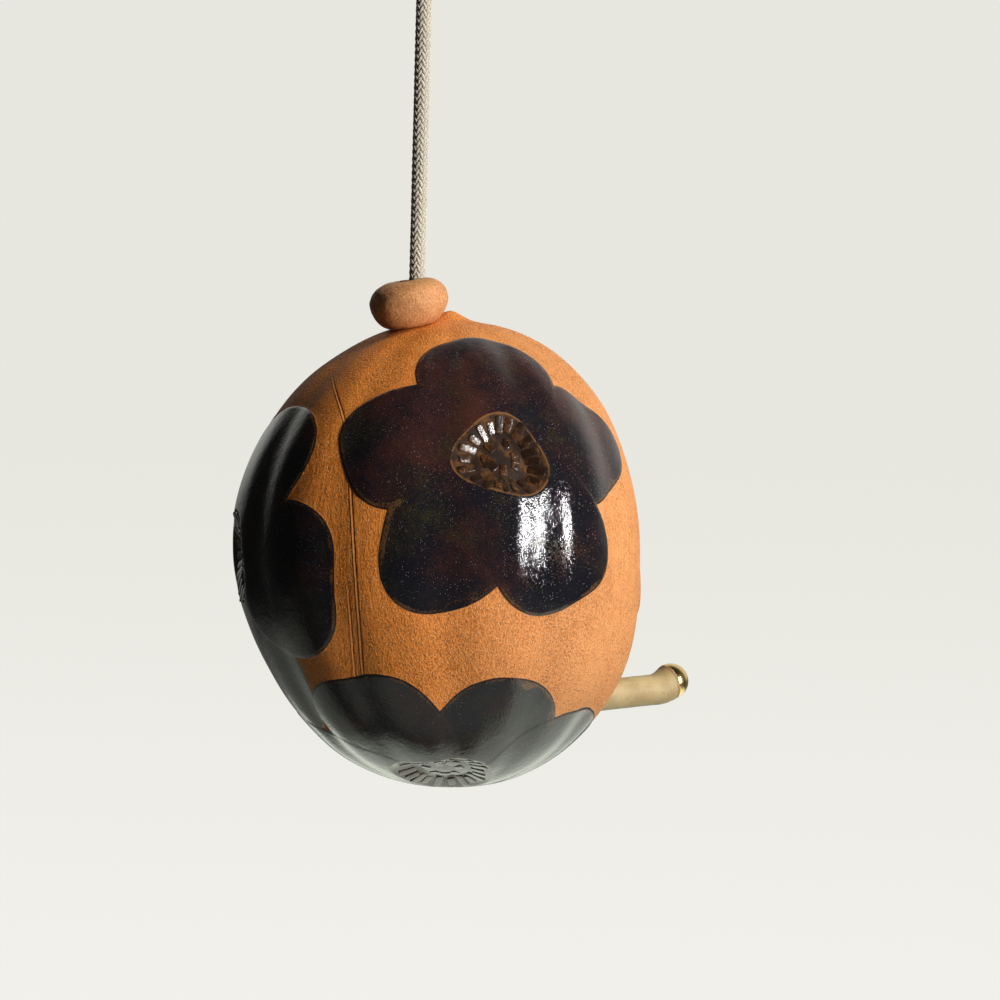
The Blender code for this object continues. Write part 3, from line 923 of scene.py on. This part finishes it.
def braid_tree(sizes, finish_of_braid):
    """Two sets of yarns that wind opposite ways round a line and pass over and under each other."""
    root, put = new_tree("braid", sizes)
    line = root.add("GeometryNodeMeshToCurve", {}, {"Mesh": put["Geometry"]})
    even = {"Curve": line, "Length": put["Step"]}
    line = root.add("GeometryNodeResampleCurve", {"mode": "LENGTH"}, even)
    normal = root.add("GeometryNodeInputNormal")
    tangent = root.add("GeometryNodeInputTangent")
    beside = tangent.math("CROSS_PRODUCT", tangent, normal)
    along = root.add("GeometryNodeSplineParameter", output="Length")
    circle, keep = "GeometryNodeCurvePrimitiveCircle", "GeometryNodeStoreNamedAttribute"
    yarn = root.add(circle, {}, {"Resolution": 6, "Radius": put["Yarn Radius"]})
    core = root.add(circle, {}, {"Resolution": 12, "Radius": put["Core Radius"]})
    strands = []
    for way in (1, -1):
        copies = {"Geometry": line, "Amount": put["Yarns"]}
        copies = root.add("GeometryNodeDuplicateElements", {"domain": "SPLINE"}, copies)
        share = copies.beside("Duplicate Index") / put["Yarns"]
        turn = 2 * math.pi * (share + way * along / put["Lay"])
        over = way * (put["Yarns"] / 2 * turn - math.pi / 4).cos()
        reach = put["Ring"] + put["Weave"] * over
        offset = (normal * turn.cos() + beside * turn.sin()) * reach
        # Each yarn keeps its over-and-under value, which its material turns into painted shade
        wound = root.add(keep, {}, {"Geometry": copies, "Name": "over", "Value": over})
        wound = root.add("GeometryNodeSetPosition", {}, {"Geometry": wound, "Offset": offset})
        skin = {"Curve": wound, "Profile Curve": yarn, "Fill Caps": True}
        strands.append(root.add("GeometryNodeCurveToMesh", {}, skin))
    # The core is kept as lying under every yarn, so the yarn's painted shade is darkest there
    sunk = root.add(keep, {}, {"Geometry": line, "Name": "over", "Value": -1.0})
    skin = {"Curve": sunk, "Profile Curve": core, "Fill Caps": True}
    strands.append(root.add("GeometryNodeCurveToMesh", {}, skin))
    braid = root.add("GeometryNodeJoinGeometry", {}, {"Geometry": strands})
    braid = root.add("GeometryNodeSetShadeSmooth", {}, {"Geometry": braid})
    close_tree(root, braid, finish_of_braid)
    return root.tree


def taupe_yarn():
    """Spun yarn with a slight sheen, and painted shade where it dives under its neighbours."""
    material, shader, root, spot = new_material("taupe_yarn")
    over = root.stored("over")
    fibre = spot.noise(3200.0, 2.0, 0.7)
    patch = spot.noise(210.0, 3.0)
    # Painted shade: the colour darkens where a yarn dives under, and most on the core
    tone = 0.45 * over.step(-1.0, 0.9) + 0.35 * fibre + 0.25 * patch
    colour = tone.step(0.18, 0.86).mix((0.125, 0.105, 0.078), (0.59, 0.535, 0.415))
    normal = root.bump(fibre, 0.12 * MM, 0.7)
    root.fill(shader, {
        "Base Color": colour,
        "Roughness": 0.52 + 0.2 * fibre,
        "Normal": normal,
        "Sheen Weight": 0.12,
        "Sheen Roughness": 0.4,
    })
    return material


def braid_piece(name, route):
    start = bpy.data.meshes.new(name)
    start.from_pydata(route, [(index, index + 1) for index in range(len(route) - 1)], [])
    return grow(name, start, braid_form, braid_sizes)


strand_spread = STRAND_PITCH / 2
loop_knot_route = knot_route(LOOP_KNOT_TURNS, strand_spread)
knot_height = max(place.z for place in loop_knot_route) + CORD_RADIUS
loop_knot_route = shift(loop_knot_route, (strand_spread, 0.0, -LOOP_DROP - knot_height))
stopper_route = knot_route(STOPPER_TURNS, 0.0)
stopper_top = max(place.z for place in stopper_route) + CORD_RADIUS
stopper_route = shift(stopper_route, (0.0, 0.0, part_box("stopper_knot")[1].z - stopper_top))

arch = []
arch_radius = LOOP_WIDTH / 2
for degrees in range(210, -31, -30):
    bearing = math.radians(degrees)
    lift = CORD_RADIUS - arch_radius + arch_radius * math.sin(bearing)
    arch.append((arch_radius * math.cos(bearing), 0.0, lift))
joint = -LOOP_DROP - CORD_DIAMETER
neck = [joint, -LOOP_DROP, -LOOP_DROP + CORD_DIAMETER]
turn_back = loop_knot_route[0].z + SEAT_GAP
inside_knot = [joint + (turn_back - joint) * step / 4 for step in range(1, 5)]
loop_route = [(0.0, 0.0, height) for height in neck] + arch
loop_route += [(STRAND_PITCH, 0.0, height) for height in neck[::-1] + inside_knot]
run_foot = stopper_route[0].z + SEAT_GAP
run_heights = [run_foot + (joint - run_foot) * step / RUN_STEPS for step in range(RUN_STEPS)]
run_route = [Vector((0.0, 0.0, height)) for height in run_heights]
cord_route = run_route + smooth_route(loop_route, 2)
cord_length = sum((end - start).length for start, end in zip(cord_route, cord_route[1:]))

braid_form = braid_tree(braid_sizes, taupe_yarn())
cord = braid_piece("braided_cord", cord_route)
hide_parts("hanging_cord", "hanging_loop")
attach(cord, "cord")

# Knots: the cord's two ends wound back round themselves. One closes the loop under the hook, and the
# other stops the cord inside the house and carries its weight on the ceiling of the nest.
loop_knot = braid_piece("loop_knot_braid", loop_knot_route)
stopper_knot = braid_piece("stopper_knot_braid", stopper_route)
for knot, node in ((loop_knot, "loop_knot"), (stopper_knot, "stopper_knot")):
    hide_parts(node)
    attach(knot, "cord")

# Bead: a ball of the same clay pressed flat between two fingers, pierced while soft and fired bare. It
# is threaded on the cord above the house and leans on the slope of the roof.
BEAD_DIAMETER = 24.4 * MM
BEAD_HEIGHT = 13.8 * MM
BEAD_FULLNESS = 0.85
BEAD_SETBACK = 13.5 * MM
BEAD_BORE_RADIUS = 4.3 * MM
BEAD_BORE_PLACE = Vector((0.7, 1.0, 0.0)) * MM
BEAD_PINCH_PLACE = Vector((0.4, 3.4)) * MM
BEAD_PINCH_DEPTH = 1.9 * MM
BEAD_SAG = 1.7 * MM
DENTS_FROM = Vector((3.1, 0.0, 0.0))


def roof_slope(off):
    return math.atan((roof_height(off - SEAT_GAP) - roof_height(off + SEAT_GAP)) / (2 * SEAT_GAP))


def bead_mesh(tilt, middle):
    """A flattened ball with fingers' dents and creases, pinched at its hole and sagged on the roof."""
    form = bmesh.new()
    bmesh.ops.create_icosphere(form, subdivisions=6, radius=1.0)
    size = Vector((BEAD_DIAMETER / 2, BEAD_DIAMETER / 2, BEAD_HEIGHT / 2))
    turned = Matrix.Rotation(-tilt, 3, "X")
    for corner in form.verts:
        way = corner.co.normalized()
        off = max(math.hypot(way.x, way.y), 1e-6)
        swell = off ** (BEAD_FULLNESS - 1)
        lift = math.copysign(abs(way.z) ** BEAD_FULLNESS, way.z)
        dents = 0.030 * noise.noise(way * 1.3 + DENTS_FROM) + 0.008 * noise.noise(way * 3.5)
        creases = 0.004 * noise.noise(Vector((way.x * 6.0, way.y * 6.0, way.z * 14.0)))
        spot = Vector((way.x * swell, way.y * swell, lift)) * size * (0.985 + dents + creases)
        spot = middle + turned @ spot
        pinch = ((spot.xy - BEAD_PINCH_PLACE).length / (3.2 * MM)) ** 2
        if way.z > 0:
            spot.z -= BEAD_PINCH_DEPTH * math.exp(-pinch) * min(1.0, 2 * way.z)
        room = shell_skin.find_nearest(spot)[3] - SEAT_GAP
        spot.z -= rise(0.2, 0.9, -way.z) * max(0.0, min(room, BEAD_SAG))
        corner.co = spot
    return mesh_from("clay_bead", form)


def bead_clay():
    material, shader, root, spot = new_material("rolled_clay")
    colour, grain = clay_grain(spot, (0.69, 0.330, 0.128), (0.41, 0.164, 0.050))
    # Fine fold lines are pressed in by the bump and darkened in colour as painted shade
    folds = spot.noise(210.0, 2.0)
    folds = (1 - abs(folds - 0.5).step(0.0, 0.02)) * spot.noise(160.0).step(0.5, 0.6)
    colour = (0.3 * folds).mix(colour, (0.36, 0.13, 0.04))
    normal = root.bump(grain - 0.5 * folds, 0.30 * MM, 0.9)
    root.fill(shader, {"Base Color": colour, "Roughness": 0.50 + 0.16 * grain, "Normal": normal})
    return material


bead_tilt = roof_slope(BEAD_SETBACK) + HOUSE_LEAN
bead_low, bead_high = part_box("cord_bead")
bead_middle = (bead_low + bead_high) / 2
bead = put_in_scene("clay_bead", bead_mesh(bead_tilt, bead_middle))
bead.data.materials.append(bead_clay())
bore_axis = BEAD_BORE_PLACE + Vector((0.0, 0.0, bead_middle.z))
bore_end = Vector((0.0, 0.0, BEAD_DIAMETER))
carve(bead, [rod("bead_bore", bore_axis - bore_end, bore_axis + bore_end, BEAD_BORE_RADIUS)])
soften(bead, 55)
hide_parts("cord_bead")
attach(bead, "bead")

# Stage: a pale floor well below the hanging house, which glows for gloss as painted light with a
# painted shadow of the house, a tall lamp low on the camera's right with a narrow one that only gloss
# shows, soft ones above, in front and behind, and a pale surround.
VIEW_AZIMUTH = math.radians(237.0)
VIEW_ROLL = math.radians(1.43)
VIEW_DISTANCE = 1.3
VIEW_WIDTH = 0.306
VIEW_TARGET = Vector((-0.01475, -0.02272, -0.22579))
FLOOR_HEIGHT = -0.5
FLOOR_RADIUS = 1.05
SURROUND_ABOVE = (0.80, 0.80, 0.745)
SURROUND_BELOW = (0.885, 0.88, 0.83)
WHITE = (1.0, 1.0, 1.0)
# Each lamp's angle to the camera's right, angle up, distance, size, power and colour
LAMPS = {
    "key_lamp": (46.5, 9.0, 2.2, (0.08, 1.1), 55.5, (1.0, 0.98, 1.03)),
    "glint_lamp": (66.0, 9.0, 2.2, (0.024, 0.8), 30.0, WHITE),
    "high_lamp": (80.0, 47.0, 2.2, (0.5, 0.5), 27.0, WHITE),
    "fill_lamp": (20.0, 0.0, 2.2, (0.8, 0.8), 1.5, WHITE),
    "back_lamp": (180.0, 6.0, 1.9, (1.4, 1.4), 12.0, WHITE),
}

view_way = Vector((-math.sin(VIEW_AZIMUTH), math.cos(VIEW_AZIMUTH), 0.0))
upright = Vector((0.0, 0.0, 1.0))
view_right = view_way.cross(upright)


def rays(root):
    """Whether the camera sees a place, straight or through the clear floor, and whether gloss does."""
    path = root.add("ShaderNodeLightPath", output="Is Camera Ray")
    return path.most(path.beside("Is Transmission Ray")), path.beside("Is Glossy Ray")


def pale_floor():
    material, shader, root, spot = new_material("pale_floor")
    off = spot.math("LENGTH", spot * (1.0, 1.0, 0.0)).beside("Value")
    depth = spot.dot(view_way)
    side = spot.dot(view_right)
    # Painted light for gloss: the floor glows behind the house and faintly in front, with a painted
    # shadow on its left
    near = (depth + 0.7 * side.most(0.0)).step(-0.01, 0.09)
    near = near * (1 - abs(side).step(0.28, 0.6))
    near = near * (1 - 0.75 * (0 - side - 0.35 * depth).step(0.03, 0.11))
    ahead = 0 - depth
    pool = 0.26 * ahead.step(-0.02, 0.08) * (1 - ahead.step(0.14, 0.30))
    pool = pool * (1 - abs(side).step(0.12, 0.30))
    near = near.most(pool)
    shown, glossy = rays(root)
    shown = shown + glossy * near
    mottle = spot.noise(6.0, 2.0).step(0.3, 0.7)
    tone = mottle.mix((0.79, 0.79, 0.735), (0.82, 0.82, 0.765))
    light = glossy.mix(tone, (1.7, 1.8, 1.55))
    glow = root.add("ShaderNodeEmission", {}, {"Color": light, "Strength": 0.95})
    dull = mottle.mix((0.11, 0.11, 0.100), (0.13, 0.13, 0.120))
    root.fill(shader, {"Base Color": dull, "Roughness": 0.8})
    lit = Wire(root.tree, shader.outputs[0])
    clear = root.add("ShaderNodeBsdfTransparent")
    bright = root.add("ShaderNodeMixShader", {}, {0: 0.9 * shown, 1: lit, 2: glow})
    faded = root.add("ShaderNodeMixShader", {}, {0: off.step(0.55, 1.0), 1: bright, 2: clear})
    root.tree.links.new(faded.socket, root.tree.nodes["Material Output"].inputs["Surface"])
    return material


def surround():
    """A dim room for diffuse light, and a pale wall and floor for the camera and for reflections."""
    world = bpy.data.worlds.new("pale_room")
    world.use_nodes = True
    root = Wire(world.node_tree)
    way = root.add("ShaderNodeTexCoord", output="Generated")
    behind = way.dot(view_way)
    right = way.dot(view_right)
    up = way.parts()[2]
    wall = behind + 0.4 * right.most(0.0) + 0.28 * up.most(0.0)
    wall = wall.step(0.62, 0.98)
    wall = 0.04 + 0.95 * wall * (0.15 + 0.85 * up.step(-0.06, 0.22))
    shown, glossy = rays(root)
    strength = 0.015 + glossy * (wall - 0.015)
    strength = strength + shown * (1.0 - strength)
    background = world.node_tree.nodes["Background"]
    colour = (0 - up).step(-0.03, 0.13).mix(SURROUND_ABOVE, SURROUND_BELOW)
    root.fill(background, {"Color": colour, "Strength": strength})
    return world


def soft_lamp(name, turn, lift, distance, size, power, colour):
    """A lamp seen from the house at an angle to the camera's right and up."""
    turn, lift = math.radians(turn), math.radians(lift)
    level = view_right * math.sin(turn) - view_way * math.cos(turn)
    way = level * math.cos(lift) + upright * math.sin(lift)
    data = bpy.data.lights.new(name, "AREA")
    data.shape = "RECTANGLE"
    data.size, data.size_y = size
    data.energy = power
    data.color = colour
    lamp = put_in_scene(name, data)
    lamp.location = house @ shell_middle + way * distance
    lamp.rotation_euler = (-way).to_track_quat("-Z", "Y").to_euler()
    lamp.visible_camera = False
    lamp.visible_glossy = name == "glint_lamp"
    lamp.visible_diffuse = name != "glint_lamp"


floor_form = bmesh.new()
bmesh.ops.create_circle(floor_form, cap_ends=True, segments=96, radius=FLOOR_RADIUS)
floor = put_in_scene("pale_floor", mesh_from("pale_floor", floor_form))
floor.data.transform(Matrix.Translation((0.0, 0.0, FLOOR_HEIGHT)))
floor.data.materials.append(pale_floor())

for lamp_name, lamp_values in LAMPS.items():
    soft_lamp(lamp_name, *lamp_values)

scene = bpy.context.scene
scene.world = surround()
scene.view_settings.view_transform = "Standard"
camera_data = bpy.data.cameras.new("camera")
camera_data.sensor_width = 36.0
camera_data.lens = camera_data.sensor_width * VIEW_DISTANCE / VIEW_WIDTH
camera = put_in_scene("camera", camera_data)
image_right = view_right * math.cos(VIEW_ROLL) + upright * math.sin(VIEW_ROLL)
image_up = upright * math.cos(VIEW_ROLL) - view_right * math.sin(VIEW_ROLL)
axes = Matrix((image_right, image_up, -view_way)).transposed().to_4x4()
camera.matrix_world = Matrix.Translation(VIEW_TARGET - view_way * VIEW_DISTANCE) @ axes
scene.camera = camera
